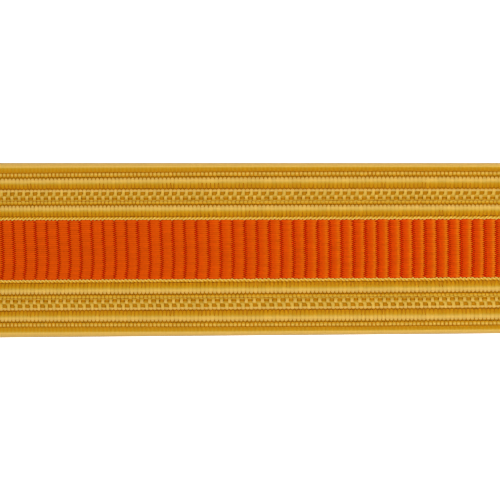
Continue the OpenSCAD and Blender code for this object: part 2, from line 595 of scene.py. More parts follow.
@dataclass
class Loft:
    """A closed skin through rings of points, with values and a bake map of its own.

    Each ring runs once round, and all rings have as many points. A point is its x, y and z in mm
    and then a number for each of the named values. The bake map holds the skin in strips, one for
    each stretch of its length, between its two ends.
    """

    rings: list[Outline]
    values: tuple[str, ...] = ()
    strips: int = 1
    # Places in the bake map: the sides' two limits, the room between strips, the ends' middles and size
    map_sides: tuple[float, float] = (0.06, 0.94)
    map_gutter: float = 0.02
    map_ends: tuple[float, float] = (0.025, 0.975)
    map_end_size: tuple[float, float] = (0.018, 0.4)

    def parts(self) -> tuple[np.ndarray, list[list[int]], list[tuple[float, float]]]:
        """Work out the skin.

        Returns:
            The points with their values, the faces as lists of point numbers, and the bake map for
            every face corner.
        """
        points = np.array(self.rings, dtype=float)
        count, around, columns = points.shape
        faces: list[list[int]] = []
        corners: list[list[tuple[float, float]]] = []
        spans = count - 1
        for i in range(spans):
            strip = min(self.strips - 1, i * self.strips // spans)
            low, high = (mix(*self.map_sides, k * self.strips / spans - strip) for k in (i, i + 1))
            here, there = i * around, (i + 1) * around
            for j in range(around):
                k = (j + 1) % around
                faces.append([here + j, here + k, there + k, there + j])
                near, far = (
                    (strip + mix(self.map_gutter, 1 - self.map_gutter, part / around)) / self.strips
                    for part in (j, j + 1)
                )
                corners.append([(low, near), (low, far), (high, far), (high, near)])
        for ring, middle in zip((0, spans), self.map_ends):
            order = range(around) if ring else range(around - 1, -1, -1)
            angles = [2 * math.pi * j / around for j in order]
            wide, tall = self.map_end_size
            faces.append([ring * around + j for j in order])
            corners.append([
                (middle + wide * math.cos(angle), (0.5 + tall * math.sin(angle)) / self.strips)
                for angle in angles
            ])
        flat = points.reshape(-1, columns)
        if self.signed_volume(flat[:, :3], faces) < 0:
            faces = [face[::-1] for face in faces]
            corners = [corner[::-1] for corner in corners]
        return flat, faces, [corner for face in corners for corner in face]

    @staticmethod
    def signed_volume(points: np.ndarray, faces: Iterable[Sequence[int]]) -> float:
        """Work out the volume inside a skin.

        Args:
            points: Its points.
            faces: Its faces as lists of point numbers.

        Returns:
            The volume, negative where the faces point inwards.
        """
        triangles = [(face[0], *pair) for face in faces for pair in zip(face[1:], face[2:])]
        first, second, third = points[np.array(triangles).T]
        return float((first * np.cross(second, third)).sum()) / 6

    @staticmethod
    def join(name: str, lofts: Sequence["Loft"]) -> Mesh:
        """Write several skins as one mesh.

        Args:
            name: The mesh's name.
            lofts: The skins. Each gets a band of its own in the bake map.

        Returns:
            The smooth mesh, with the bake map and every skin's values.
        """
        skins: list[np.ndarray] = []
        faces: list[list[int]] = []
        corners: list[tuple[float, float]] = []
        for i, loft in enumerate(lofts):
            points, own_faces, own_corners = loft.parts()
            start = sum(len(skin) for skin in skins)
            skins.append(points)
            faces += [[k + start for k in face] for face in own_faces]
            corners += [(u, (v + i) / len(lofts)) for u, v in own_corners]
        table = np.concatenate(skins)
        mesh = new_mesh(name, table[:, :3], faces)
        mesh.uv_layers.new(name=BAKE_MAP).data.foreach_set("uv", np.array(corners, dtype=np.float32).ravel())
        for column, key in enumerate(lofts[0].values, start=3):
            store_numbers(mesh, key, table[:, column])
        mesh.shade_smooth()
        mesh.validate()
        return mesh


@dataclass(frozen=True)
class Ring:
    """A thread's section at one place of its path across a row.

    The place is a share of the row's room, the half-width a share of half a weft's room, and aside
    how far the thread leans along the braid, in wefts. The crown is how high the thread's back is
    arched above its sides. The tone is the yarn's painted light, low for painted shade and high for a painted
    highlight.
    """

    place: float
    height: float
    half: float
    aside: float
    tone: float
    crown: float


@dataclass(frozen=True)
class Thread:
    """A thread that is laid across a row, from a blunt tip at the outer side to a tail under the next row."""

    rings: tuple[Ring, ...]
    depth: float = 0.12
    # Shares of the half-width at which a section gets a point, over the back and along the underside
    back: tuple[float, ...] = (-1.0, -0.93, -0.5, 0.0, 0.5, 0.93, 1.0)
    belly: tuple[float, ...] = (0.75, -0.75)
    # How much painted shade darkens the sides of a round thread, the crown from which it counts as round, and
    # the tone that its sides and underside keep between two places, low for their painted shade
    side_tone: float = 0.18
    round_crown: float = 0.06
    least_tone: float = 0.09
    least_fades: tuple[float, float] = (0.4, 0.8)

    def loft(self, room: float, pitch: float, side: Side) -> Loft:
        """Build the thread's skin round its own place.

        Args:
            room: The room of the row across the braid.
            pitch: The room of one weft along the braid.
            side: The band that the thread is for.

        Returns:
            The skin, whose Y starts at 0 at the row's outer side.
        """
        path = [(-side.value * ring.place * room, ring.height) for ring in self.rings]
        rings = []
        for i, ring in enumerate(self.rings):
            before, after = path[max(0, i - 1)], path[min(len(path) - 1, i + 1)]
            run = (after[0] - before[0], after[1] - before[1])
            size = math.hypot(*run) * -side.value
            up = (-run[1] / size, run[0] / size)
            # Painted shade: the sides darken towards their edges and the underside keeps the least tone
            least = min(ring.tone, self.least_tone * (1 - smooth(*self.least_fades, ring.place)))
            dim = self.side_tone * min(1.0, ring.crown / self.round_crown)
            section = [(share, -ring.crown * share**2, max(least, ring.tone - dim * share**2))
                       for share in self.back]
            section += [(share, -ring.crown - self.depth, least) for share in self.belly]
            rings.append([
                ((ring.aside + share * ring.half / 2) * pitch, path[i][0] + up[0] * z, path[i][1] + up[1] * z,
                 tone, ring.place * room, share)
                for share, z, tone in section
            ])
        return Loft(rings, ("tone", "along", "across"))


@dataclass(frozen=True)
class SatinProfile:
    """How bright, how wide and how arched the threads of a plain row are over its room.

    The places are the shares of the room at which a thread gets a ring. Those below 0 are its foot.
    Its brightness is painted light: a highlight on the tip, shade towards the tail and a shadow in the gap.
    """

    seed: int
    places: tuple[float, ...] = (
        -0.05, 0.0, 0.05, 0.09, 0.13, 0.18, 0.25, 0.35, 0.5, 0.66, 0.8, 0.92, 1.0, 1.05,
    )
    # Places between which the foot brightens to the tip's painted highlight, and the crest fades to the
    # tail's painted shade
    foot_to: float = -0.05
    crest_from: float = 0.17
    crest_to: float = 0.40
    faded_at: float = 0.78
    # Shares of the crest's place between which the tip's painted highlight dims to the crest
    dim_shares: tuple[float, float] = (0.25, 0.7)
    # The tail's tone runs down to the gap's painted shadow from here on, over this share of the room
    gap_from: float = 0.96
    gap_run: float = 0.08
    # Tones of the foot, of the tip's painted highlight, the share that the crest loses and the tail's painted
    # shade
    foot_tone: float = 0.2
    top_tone: float = 1.0
    crest_dim: float = 0.15
    tail_tone: float = 0.30
    # The crown at the tip, on the crest and at the tail
    crowns: tuple[float, float, float] = (0.08, 0.008, 0.08)
    # How far the foot drops below the outer side, and how steeply the end of the tail dives
    foot_drop: float = 0.24
    tail_dive: float = 1.6
    halves: Table = (
        (-0.05, 0.36), (0.0, 0.60), (0.05, 0.70), (0.09, 0.76), (0.13, 0.82), (0.18, 0.90),
        (0.25, 1.03), (0.34, 1.08), (0.5, 1.10), (0.66, 1.08), (0.8, 1.0), (1.0, 0.88),
    )

    def ring(self, section: Section, place: float) -> Ring:
        """Shape a thread at one place.

        Args:
            section: The face of its row.
            place: The share of the room.

        Returns:
            The thread's section there.
        """
        height = section.height(place) - self.tail_dive * max(0.0, place - 1)
        if place < 0:
            height -= self.foot_drop * place / self.places[0]
        fade = smooth(self.crest_to, self.faded_at, place)
        # Painted light: the tone rises from the foot to the tip's highlight, dims over the crest, fades to
        # the tail's shade and drops to the gap's shadow
        tone = self.top_tone * mix(self.foot_tone, 1.0, smooth(self.foot_to, self.crest_from, place))
        dim_from, dim_to = (share * self.crest_to for share in self.dim_shares)
        tone *= 1 - self.crest_dim * smooth(dim_from, dim_to, place)
        tone *= mix(1.0, self.tail_tone, fade)
        tone *= 1 - smooth(self.gap_from, self.gap_from + self.gap_run, place)
        tip, crest, tail = self.crowns
        crown = mix(tip, crest, smooth(0.0, self.crest_to, place)) + (tail - crest) * fade
        return Ring(place, height, blend_table(self.halves, place), 0.0, tone, crown)

    def thread(self, section: Section) -> Thread:
        """Shape a thread that follows a row's face."""
        return Thread(tuple(self.ring(section, place) for place in self.places))


CORD_PLACES = (-0.2, -0.1, 0.0, 0.08, 0.2, 0.34, 0.5, 0.68, 0.84, 1.0, 1.1)
PROFILES: dict[Row, SatinProfile] = {
    Row.BEAD: SatinProfile(
        11, CORD_PLACES, crest_from=0.3, crest_to=0.5, faded_at=0.95, top_tone=0.95, tail_tone=0.42,
        crowns=(0.06, 0.06, 0.05), halves=((-0.2, 0.4), (0.0, 0.76), (0.2, 0.88), (0.7, 0.90), (1.0, 0.90))),
    Row.OUTER: SatinProfile(12),
    Row.FINE: SatinProfile(
        13, CORD_PLACES, crest_from=0.1, crest_to=0.3, faded_at=0.95, top_tone=0.8, tail_tone=0.42,
        crowns=(0.04, 0.05, 0.05), halves=((-0.2, 0.7), (0.0, 0.86), (0.3, 0.94), (1.0, 0.92))),
    Row.INNER: SatinProfile(14, crest_from=0.13, tail_tone=0.23, gap_from=1.1),
}


@dataclass(frozen=True)
class CheckWeft:
    """One of the two kinds of weft of the check band, which dips in one row of pits.

    The columns are the ring's place, its drop below the face, half-width, lean, tone and crown. The tone is
    painted light: low for the shade in the pits and high for a highlight near the tip.
    """

    name: str
    first: int
    seed: int
    columns: tuple[tuple[float, ...], ...]
    depth: float = 0.24

    def thread(self, section: Section) -> Thread:
        """Shape the weft.

        Args:
            section: The face of the band.

        Returns:
            The weft as a thread.
        """
        return Thread(tuple(
            Ring(place, section.height(min(1.0, place)) - drop, half, aside, tone, crown)
            for place, drop, half, aside, tone, crown in self.columns
        ), self.depth)


CHECK_WEFTS = (
    CheckWeft("even", 0, 31, (
        (-0.03, 0.24, 0.20, 0.0, 0.14, 0.06),
        (0.00, 0.02, 0.56, 0.0, 0.2, 0.08),
        (0.04, 0.00, 0.76, 0.0, 0.5, 0.08),
        (0.10, 0.00, 0.96, -0.01, 0.9, 0.05),
        (0.18, 0.00, 1.06, -0.02, 1.0, 0.03),
        (0.25, 0.02, 1.10, -0.03, 0.9, 0.03),
        (0.29, 0.13, 1.14, -0.03, 0.25, 0.03),
        (0.34, 0.18, 1.20, -0.05, 0.04, 0.03),
        (0.49, 0.18, 1.20, -0.14, 0.04, 0.03),
        (0.54, 0.06, 1.10, -0.22, 0.5, 0.04),
        (0.59, 0.00, 1.00, -0.29, 0.78, 0.03),
        (0.65, -0.02, 0.96, -0.33, 0.85, 0.04),
        (0.75, -0.02, 0.82, -0.34, 0.85, 0.04),
        (0.86, -0.01, 0.84, -0.34, 0.74, 0.04),
        (0.93, 0.00, 1.00, -0.34, 0.62, 0.05),
        (1.00, 0.02, 0.92, -0.34, 0.5, 0.05),
        (1.06, 0.14, 0.90, -0.34, 0.14, 0.05),
    )),
    CheckWeft("odd", 1, 32, (
        (-0.04, 0.24, 0.20, 0.0, 0.14, 0.06),
        (-0.01, 0.00, 0.54, 0.0, 0.2, 0.08),
        (0.03, -0.01, 0.74, 0.0, 0.5, 0.08),
        (0.09, -0.02, 0.90, -0.01, 0.95, 0.05),
        (0.17, -0.02, 0.97, -0.02, 0.9, 0.03),
        (0.26, -0.02, 1.00, -0.03, 0.80, 0.05),
        (0.37, -0.02, 0.80, -0.05, 0.76, 0.05),
        (0.49, -0.01, 0.98, -0.13, 0.78, 0.04),
        (0.58, 0.00, 1.10, -0.24, 0.74, 0.03),
        (0.63, 0.02, 1.18, -0.31, 0.6, 0.03),
        (0.70, 0.06, 1.20, -0.34, 0.52, 0.03),
        (0.76, 0.16, 1.20, -0.34, 0.06, 0.03),
        (0.885, 0.19, 1.20, -0.34, 0.04, 0.03),
        (0.92, 0.08, 1.10, -0.34, 0.5, 0.04),
        (0.95, 0.00, 1.00, -0.34, 0.76, 0.05),
        (0.99, -0.02, 0.94, -0.34, 0.74, 0.05),
        (1.03, 0.04, 0.90, -0.34, 0.5, 0.05),
        (1.08, 0.16, 0.90, -0.34, 0.14, 0.05),
    )),
)


@dataclass(frozen=True)
class Place:
    """Where a copy of a thread goes and how it lies.

    The lean is how far its middle leans along the braid, in metres. The light is how strongly the painted
    glint
    shows on it, as a share of its tone: a painted highlight towards its right end and painted shade towards
    its left end.
    """

    x: float
    y: float
    z: float = 0.0
    turn: float = 0.0
    stretch: tuple[float, float, float] = (1.0, 1.0, 1.0)
    lean: float = 0.0
    light: float = 0.0


class ThreadLayer:
    """Lays copies of a thread at a row of places with a geometry node tree."""

    SOCKETS = (
        ("Thread", "NodeSocketObject"), ("Finish", "NodeSocketMaterial"), ("Spread", "NodeSocketFloat"),
        ("Sway", "NodeSocketFloat"), ("Map Columns", "NodeSocketInt"), ("Map Rows", "NodeSocketInt"),
        ("Seed", "NodeSocketInt"),
    )

    def __init__(self) -> None:
        """Build the tree once for every row."""
        self.tree = bpy.data.node_groups.new("lay_threads", "GeometryNodeTree")
        face = self.tree.interface
        face.new_socket(name="Places", in_out="INPUT", socket_type="NodeSocketGeometry")
        self.keys = {
            name: face.new_socket(name=name, in_out="INPUT", socket_type=kind).identifier
            for name, kind in self.SOCKETS
        }
        face.new_socket(name="Threads", in_out="OUTPUT", socket_type="NodeSocketGeometry")
        self.web = NodeWeb(self.tree)
        given = self.web.add("NodeGroupInput").node.outputs
        threads = self.map_cells(self.lean(self.copies(given)), given)
        dressed = self.web.add("GeometryNodeSetMaterial", {"Geometry": threads, "Material": given["Finish"]})
        self.web.feed(self.tree.nodes.new("NodeGroupOutput"), 0, dressed)

    def copies(self, given: Sequence[NodeSocket]) -> NodeSocket:
        """Add the nodes that lay the copies, each a little different in size, turn and shade.

        Args:
            given: The tree's inputs.

        Returns:
            The copies, realized.
        """
        web = self.web
        less, more = (web.math(operation, 1.0, given["Spread"]) for operation in ("SUBTRACT", "ADD"))
        back = web.math("MULTIPLY", given["Sway"], -1.0)
        limits = ((less, more), (less, more), (less, more), (back, given["Sway"]), (0.0, 1.0))
        draws = []
        for salt, (low, high) in enumerate(limits):
            sockets = {"Min": low, "Max": high, "Seed": web.math("ADD", given["Seed"], float(salt))}
            draws.append(web.add("FunctionNodeRandomValue", sockets, data_type="FLOAT"))
        *sizes, turned, shade = draws
        thread = web.add(
            "GeometryNodeObjectInfo", {"Object": given["Thread"]}, "Geometry", transform_space="ORIGINAL")
        laid = web.add("GeometryNodeInstanceOnPoints", {
            "Points": given["Places"], "Instance": thread,
            "Rotation": web.vector(z=web.math("ADD", web.named("turn"), turned)),
            "Scale": web.vector_math("MULTIPLY", web.named("stretch", "FLOAT_VECTOR"), web.vector(*sizes)),
        })
        laid = web.store(laid, "shade", shade, "INSTANCE")
        laid = web.store(laid, "number", web.add("GeometryNodeInputIndex"), "INSTANCE")
        return web.add("GeometryNodeRealizeInstances", {"Geometry": laid})

    def lean(self, threads: NodeSocket) -> NodeSocket:
        """Add the nodes that paint the glint onto the floats' tone and draw the middles of a leaning rib's
        floats along the braid.

        Args:
            threads: The threads.

        Returns:
            The threads, with their painted glint, leaning.
        """
        web = self.web
        # Painted highlight and shade: the tone is scaled by one plus the light times the painted glint
        gain = web.math("MULTIPLY_ADD", web.named("light"), web.named("glint"), 1.0)
        lit = web.store(threads, "tone", web.math("MULTIPLY", web.named("tone"), gain), "POINT")
        along = web.named("along")
        arch = web.math("MULTIPLY", web.math("MULTIPLY", along, web.math("SUBTRACT", 1.0, along)), 4.0)
        offset = web.vector(web.math("MULTIPLY", arch, web.named("lean")))
        return web.add("GeometryNodeSetPosition", {"Geometry": lit, "Offset": offset})

    def map_cells(self, threads: NodeSocket, given: Sequence[NodeSocket]) -> NodeSocket:
        """Add the nodes that give each thread a cell of its own in the bake map.

        Args:
            threads: The threads.
            given: The tree's inputs.

        Returns:
            The threads with their map.
        """
        web, number = self.web, self.web.named("number")
        columns, rows = given["Map Columns"], given["Map Rows"]
        column = web.math("FLOORED_MODULO", number, columns)
        row = web.math("FLOOR", web.math("DIVIDE", web.math("ADD", number, 0.5), columns))
        cell = web.vector_math("ADD", web.named(BAKE_MAP, "FLOAT_VECTOR"), web.vector(column, row))
        cell = web.vector_math("DIVIDE", cell, web.vector(columns, rows, 1.0))
        return web.store(threads, BAKE_MAP, cell, "CORNER", "FLOAT2")

    def lay(self, name: str, thread: Loft, places: Sequence[Place], finish: Material, seed: int,
            spread: float = 0.03, sway: float = 0.02) -> Object:
        """Lay a thread at every place.

        Args:
            name: The piece's name.
            thread: The thread's skin round its own place.
            places: Where the copies go.
            finish: The material.
            seed: The number that the small differences are drawn from.
            spread: How much the copies differ in size, as a share.
            sway: How far the copies turn, in radians.

        Returns:
            The piece as a plain mesh.
        """
        pattern = bpy.data.objects.new(f"{name}_pattern", Loft.join(f"{name}_pattern", [thread]))
        mesh = new_mesh(f"{name}_places", [(place.x, place.y, place.z) for place in places])
        for key in ("turn", "lean", "light"):
            store_numbers(mesh, key, [getattr(place, key) for place in places])
        stretch = [part for place in places for part in place.stretch]
        mesh.attributes.new("stretch", "FLOAT_VECTOR", "POINT").data.foreach_set("vector", stretch)
        ground = bpy.data.objects.new(f"{name}_places", mesh)
        bpy.context.scene.collection.objects.link(ground)
        columns = math.ceil(math.sqrt(len(places)))
        modifier = ground.modifiers.new("lay", "NODES")
        modifier.node_group = self.tree
        given = (pattern, finish, spread, sway, columns, math.ceil(len(places) / columns), seed)
        for (key, _), value in zip(self.SOCKETS, given):
            modifier[self.keys[key]] = value
        depsgraph = bpy.context.evaluated_depsgraph_get()
        plain = bpy.data.meshes.new_from_object(
            ground.evaluated_get(depsgraph), preserve_all_data_layers=True, depsgraph=depsgraph)
        plain.name = name
        for key in ("turn", "lean", "light", "glint", "stretch", "number"):
            if key in plain.attributes:
                plain.attributes.remove(plain.attributes[key])
        for used in (ground, pattern):
            old = used.data
            bpy.data.objects.remove(used)
            bpy.data.meshes.remove(old)
        return bpy.data.objects.new(name, plain)


@dataclass
class Assembly:
    """Shared steps of the sub-assemblies: each piece is dressed and joined to the braid."""

    plan: WeavePlan
    palette: Palette
    pieces: list[Object] = field(default_factory=list, init=False)

    def join(self, piece: Object, finish: Finish, node: str) -> None:
        """Join a piece to the braid.

        Args:
            piece: The piece, with its material on it.
            finish: What it is made of; not used.
            node: The solid that it stands for.
        """
        bpy.context.scene.collection.objects.link(piece)
        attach(piece, "root")
        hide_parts(node)
        self.pieces.append(piece)

    def dress(self, mesh: Mesh, finish: Finish, node: str) -> None:
        """Make a piece of a mesh in one finish."""
        mesh.materials.append(self.palette[finish])
        self.join(bpy.data.objects.new(mesh.name, mesh), finish, node)


@dataclass
class GoldBand(Assembly):
    """The laid rows of one gold band, over their filler cords."""

    side: Side
    layer: ThreadLayer
    filler_steps: int = 24
    filler_points: int = 21
    filler_foot: tuple[float, ...] = (0.97, 0.5, 0.03)
    # How far a filler cord lies below its row's face, as (place, depth)
    under_rib: Table = ((0.0, 0.12), (0.2, 0.1), (0.3, 0.06))
    under_twist: Table = ((0.0, -0.06), (0.25, 0.14), (0.5, 0.2), (0.75, 0.14), (1.0, 0.02))
    under_check: Table = ((0.0, 0.06), (0.16, 0.08), (0.24, 0.4), (0.9, 0.4), (0.95, 0.1), (1.0, 0.08))

    def places(self, row: Row, first: int, step: int) -> list[Place]:
        """Work out where a row's threads go.

        Args:
            row: The row.
            first: The number of the weft that the row counts from.
            step: How many wefts lie from one thread of the row to the next.

        Returns:
            The places, each stretched to the row's room and to its neighbours' distance there.
        """
        weave, start = ROW_WEAVES[row], self.plan.row_start(row)
        wefts = self.plan.wefts(row, first, step)
        places = []
        for i, x in enumerate(wefts):
            outer, inner = self.plan.row_sides(row, self.side, x)
            before, after = max(i - 1, 0), min(i + 1, len(wefts) - 1)
            share = (wefts[after] - wefts[before]) / (after - before) / step / self.plan.weft_pitch
            slope = self.plan.line_y(start, self.side, x + 1) - self.plan.line_y(start, self.side, x)
            room = abs(inner - outer)
            lean = mix(weave.lean_left, weave.lean_right, blend_table(self.plan.fan, x))
            turn = math.atan(slope) + self.side.value * math.atan(lean * self.plan.weft_pitch / room)
            places.append(Place(x, outer, turn=turn, stretch=(share, room / SECTIONS[row].room, 1.0)))
        return places

    def lay_row(self, row: Row, thread: Thread, name: str, seed: int, first: int = 0, step: int = 1) -> None:
        """Lay one kind of thread over a row.

        Args:
            row: The row.
            thread: The thread.
            name: What the piece's name says after the row's.
            seed: The number that the small differences are drawn from.
            first: The number of the weft that the row counts from.
            step: How many wefts lie from one thread of this kind to the next.
        """
        node = self.side.node(row)
        loft = thread.loft(SECTIONS[row].room, self.plan.weft_pitch, self.side)
        places = self.places(row, first, step)
        piece = self.layer.lay(f"{node}_{name}", loft, places, self.palette[Finish.GOLD], seed)
        self.join(piece, Finish.GOLD, node)

    def fill_row(self, row: Row, under: Table) -> None:
        """Draw the cord that fills a row, just under its threads, with plain cut ends.

        Args:
            row: The row.
            under: How far the cord lies below the row's face, as (place, depth).
        """
        face = [i / (self.filler_points - 1) for i in range(self.filler_points)]
        section = [(place, SECTIONS[row].height(place) - blend_table(under, place)) for place in face]
        section += [(place, self.plan.seat) for place in self.filler_foot]
        rings = []
        for x in self.plan.stations(self.filler_steps):
            sides = self.plan.row_sides(row, self.side, x)
            rings.append([(x, mix(*sides, place), height) for place, height in section])
        node = self.side.node(row)
        self.dress(Loft.join(f"{node}_filler", [Loft(rings, strips=3)]), Finish.FILLER, node)

    def build(self) -> None:
        """Build every row but the edge cord and the border twist's plies."""
        for row in (Row.BEAD, Row.OUTER, Row.CHECK, Row.FINE, Row.INNER):
            if row is Row.CHECK:
                for weft in CHECK_WEFTS:
                    thread = weft.thread(SECTIONS[row])
                    self.lay_row(row, thread, f"{weft.name}_wefts", weft.seed, weft.first, step=2)
            else:
                self.lay_row(row, PROFILES[row].thread(SECTIONS[row]), "threads", PROFILES[row].seed)
        for row in PROFILES:
            self.fill_row(row, self.under_rib)
        self.fill_row(Row.TWIST, self.under_twist)
        self.fill_row(Row.CHECK, self.under_check)


@dataclass
class EdgeCord(Assembly):
    """The rolled selvedge cord: fine turns of yarn round a filler, tight enough to look smooth."""

    side: Side
    # How deep the hollows between the turns are on the face and on the outer flank, and the share of
    # the face's depth that they have up to the crest
    face_relief: float = 0.03
    flank_relief: float = 0.045
    crest_relief: float = 0.2
    # Places between which the hollows deepen and the inner flank's painted shade grows, and where the rim's
    # painted shade begins and ends, outwards from the crest and up the flank
    hollow_from: tuple[float, float] = (0.4, 0.7)
    dim_from: tuple[float, float] = (0.41, 0.7)
    rim_from: tuple[float, float] = (0.5, 1.0)
    rim_heights: tuple[float, float] = (0.2, 0.6)
    foot: float = 0.02
    steps_per_turn: int = 8
    rise_steps: int = 6
    fall_steps: int = 7
    # The crest's tone, how much of it the inner flank loses to painted shade on a turn, and how much more in
    # a hollow
    crest_tone: float = 0.85
    painted_inner_shade: float = 0.43
    painted_hollow_shade: float = 0.22
    # The outer flank's tone at its foot, its gain up to the shoulder and its loss in a hollow, which paint
    # shade low down and in the hollows
    flank_tones: tuple[float, float, float] = (0.55, 0.3, 0.4)
    # The inner flank and the underside: place, height and tone, the tone low for the painted shade under the
    # cord
    under: tuple[Triple, ...] = ((1.12, 0.66, 0.14), (1.0, 0.45, 0.0), (0.9, 0.08, 0.1), (0.78, 0.02, 0.3))
    # How much the painted shade darkens the rim, and the length of braid over which the place across goes up
    # by 1
    painted_rim_shade: float = 3.4
    turn_length: float = 0.6

    def ring(self, x: float) -> Outline:
        """Work out the cord's section.

        Args:
            x: The place along the braid.

        Returns:
            The section's points with the yarn's values.
        """
        section = SECTIONS[Row.EDGE]
        crest = section.crest_place
        outer, inner = (self.plan.row_sides(row, self.side, x)[0] for row in (Row.EDGE, Row.BEAD))
        hollow = (1 - math.cos(2 * math.pi * self.plan.turns(Row.EDGE, x))) / 2
        angles = [math.pi / 2 * i / self.rise_steps for i in range(self.rise_steps + 1)]
        places = [crest * (1 - math.cos(angle)) for angle in angles]
        places += [mix(crest, 1.0, (i + 1) / self.fall_steps) for i in range(self.fall_steps)]
        points = []
        for place in places:
            relief = self.face_relief * hollow * mix(self.crest_relief, 1.0, smooth(*self.hollow_from, place))
            # Painted shade on the inner flank, deeper in a hollow between turns
            dim = (self.painted_inner_shade + self.painted_hollow_shade * hollow) * smooth(*self.dim_from, place)
            points.append((mix(outer, inner, place), section.height(place) - relief, self.crest_tone - dim))
        points += [(mix(outer, inner, place), height, tone) for place, height, tone in self.under]
        foot_tone, gain, loss = self.flank_tones
        for i, angle in enumerate(angles[:-1]):
            inset = self.side.value * self.flank_relief * hollow * math.sin(angle)
            y = mix(outer, inner, crest * (1 - math.sin(angle))) - inset
            # Painted shade on the outer flank, darker low down and in a hollow
            tone = foot_tone + gain * i / self.rise_steps - loss * hollow
            points.append((y, mix(self.foot, section.shoulder, 1 - math.cos(angle)), tone))
        middle = mix(outer, inner, crest)
        across = (x + self.plan.end) / self.turn_length
        ring = []
        for j, (y, z, tone) in enumerate(points):
            # Painted shade darkens the rim, high on the outer flank
            rim = smooth(*self.rim_from, self.side.value * (y - middle) / abs(middle - outer))
            shade = EVEN_SHADE - self.painted_rim_shade * rim * smooth(*self.rim_heights, z)
            ring.append((x, y, z, tone, shade, j / len(points), across))
        return ring

    def build(self) -> None:
        """Build the cord as one skin along the whole braid."""
        steps = round(self.plan.length / self.plan.weft_pitch * self.steps_per_turn)
        skin = Loft([self.ring(x) for x in self.plan.stations(steps)], YARN_VALUES, strips=12)
        node = self.side.node(Row.EDGE)
        self.dress(Loft.join(f"{node}_wraps", [skin]), Finish.GOLD, node)


@dataclass
class BorderTwist(Assembly):
    """The two-ply twist between a gold band and the stripe. It rides over the stripe's ribs."""

    side: Side
    ply_radius: float = 0.15
    twist_radius: float = 0.09
    crest: float = 1.37
    inwards: float = 0.05
    # How far it bows across the braid, between which places along it the bow grows, how far it sinks
    # from rib to rib, and where a rib begins
    bow: float = 0.02
    bow_grows: tuple[float, float] = (-20, 20)
    rise: float = 0.04
    rib_phase: float = 0.38
    end_gap: float = 0.02
    steps_per_weft: int = 8
    ply_points: int = 8
    # The tone low on a ply and its gain up to the crest, painted shade below and painted light above, and the
    # share of both that shows half-way up a hump, with the painted highlight that it gains on top of one and
    # loses between two
    low_tone: float = 0.25
    rise_tone: float = 0.75
    painted_hump_light: tuple[float, float] = (0.86, 0.1)
    # What the inner side gains, and between which shares of the room, counted from the outer side
    inner_gain: float = 0.5
    inner_from: tuple[float, float] = (0.5, 0.8)
    least_tone: float = 0.12
    # How far the place along the fibres goes up for each mm of braid
    fibre_run: float = 0.5

    def ring(self, x: float, ply: int) -> Outline:
        """Work out a ply's section.

        Args:
            x: The place along the braid.
            ply: 0 or 1.

        Returns:
            The section's points with the yarn's values.
        """
        outer, inner = self.plan.row_sides(Row.TWIST, self.side, x)
        middle, side = (outer + inner) / 2, self.side.value
        hump = math.cos(2 * math.pi * (self.plan.number_at(x) / self.plan.wefts_per_rib - self.rib_phase))
        angle = math.pi * (self.plan.turns(Row.TWIST, x) + ply)
        off = self.bow * hump * smooth(*self.bow_grows, x) - self.inwards
        off += self.twist_radius * math.sin(angle)
        top = self.crest + self.rise * (hump - 1) / 2
        low = top - self.ply_radius - self.twist_radius * (1 - math.cos(angle))
        steady, extra = self.painted_hump_light
        ring = []
        for j in range(self.ply_points):
            turn = 2 * math.pi * j / self.ply_points
            y = middle + side * off + self.ply_radius * math.cos(turn)
            z = low + self.ply_radius * math.sin(turn)
            up = 1 + (z - top) / (2 * self.twist_radius)
            share = 0.5 - side * (y - middle) / SECTIONS[Row.TWIST].room
            # Painted light and shade: lighter up the ply and on a hump, darker low on it and between humps
            lit = (self.low_tone + self.rise_tone * up) * (steady + extra * hump)
            lit += self.inner_gain * smooth(*self.inner_from, share)
            tone = min(1.0, max(self.least_tone, lit))
            ring.append((x, y, z, tone, EVEN_SHADE, x * self.fibre_run, 2 * j / self.ply_points))
        return ring

    def build(self) -> None:
        """Build the two plies as one piece."""
        steps = round((self.plan.length - 2 * self.end_gap) / self.plan.weft_pitch * self.steps_per_weft)
        places = self.plan.stations(steps, self.end_gap)
        lofts = [Loft([self.ring(x, ply) for x in places], YARN_VALUES, strips=12) for ply in (0, 1)]
        node = self.side.node(Row.TWIST)
        self.dress(Loft.join(f"{node}_plies", lofts), Finish.BORDER, node)


